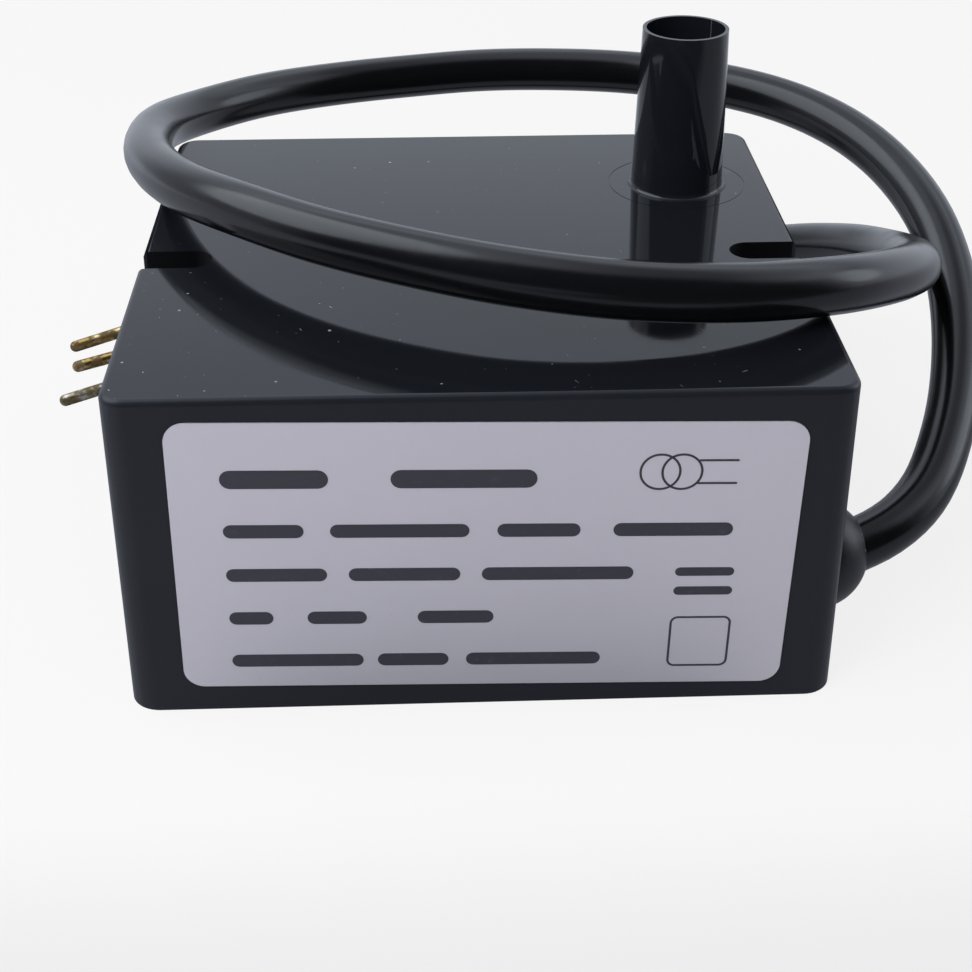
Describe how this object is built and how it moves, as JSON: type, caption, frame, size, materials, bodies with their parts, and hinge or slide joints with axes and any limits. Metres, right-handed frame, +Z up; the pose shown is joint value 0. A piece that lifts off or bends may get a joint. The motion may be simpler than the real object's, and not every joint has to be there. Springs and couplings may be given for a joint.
{
  "type": "ignition transformer",
  "caption": "Potted ignition transformer: black moulded case with an outlet tower, side fixing slots, bent supply pins, a rating plate and a fixed high-voltage lead.",
  "frame": {"origin": "centre of the case's footprint, on the plane that it stands on", "axes": "+Z up; -Y towards the side with the rating plate; +X towards the side with the high-voltage lead"},
  "size_m": [0.1239, 0.1242, 0.0645],
  "materials": {
    "case_plastic": "moulded black with a glossy top and satin sides",
    "resin": "cast potting, slightly domed and dull",
    "plate": "lilac-grey printed foil, satin",
    "pin_brass": "drawn wire, dull with brown stains",
    "outlet_rubber": "black, smooth",
    "lead_jacket": "black silicone jacket, satin",
    "copper_wire": "bare copper",
    "plug_rubber": "black, matte",
    "terminal_brass": "turned brass, dull",
    "ferrite": "dark grey, matte",
    "bobbin_plastic": "natural moulding",
    "winding_copper": "enamelled wire, glossy",
    "board_laminate": "green laminate",
    "capacitor_yellow": "moulded box",
    "capacitor_blue": "moulded box",
    "fuse_ceramic": "plain white tube",
    "varistor_blue": "dipped coating",
    "moulded_black": "moulded body",
    "heat_sink_metal": "bent sheet, milled finish",
    "resistor_brown": "cement coating",
    "resistor_tan": "lacquered body",
    "diac_glass": "painted body"
  },
  "bodies": {
    "root": {"case": "case_plastic", "potting_resin": "resin", "rating_plate": "plate", "supply_pin_rear": "pin_brass", "supply_pin_middle": "pin_brass", "earth_pin": "pin_brass", "lead_outlet": "outlet_rubber", "hv_lead": "lead_jacket", "lead_inner_end": "lead_jacket", "lead_conductor": "copper_wire", "plug_boot": "plug_rubber", "plug_socket": "terminal_brass", "hv_terminal": "terminal_brass", "secondary_post_front": "terminal_brass", "secondary_post_rear": "terminal_brass", "core_half_front": "ferrite", "core_half_rear": "ferrite", "primary_bobbin": "bobbin_plastic", "primary_winding": "winding_copper", "primary_wires": "copper_wire", "secondary_bobbin": "bobbin_plastic", "secondary_winding": "winding_copper", "circuit_board": "board_laminate", "suppression_capacitor": "capacitor_yellow", "discharge_capacitor": "capacitor_blue", "fuse": "fuse_ceramic", "varistor": "varistor_blue", "rectifier_diodes": "moulded_black", "thyristor_body": "moulded_black", "heat_sink": "heat_sink_metal", "charge_resistor": "resistor_brown", "gate_resistors": "resistor_tan", "diac": "diac_glass", "choke_core": "ferrite", "choke_winding": "winding_copper", "earth_strap": "copper_wire"}
  },
  "joints": []
}
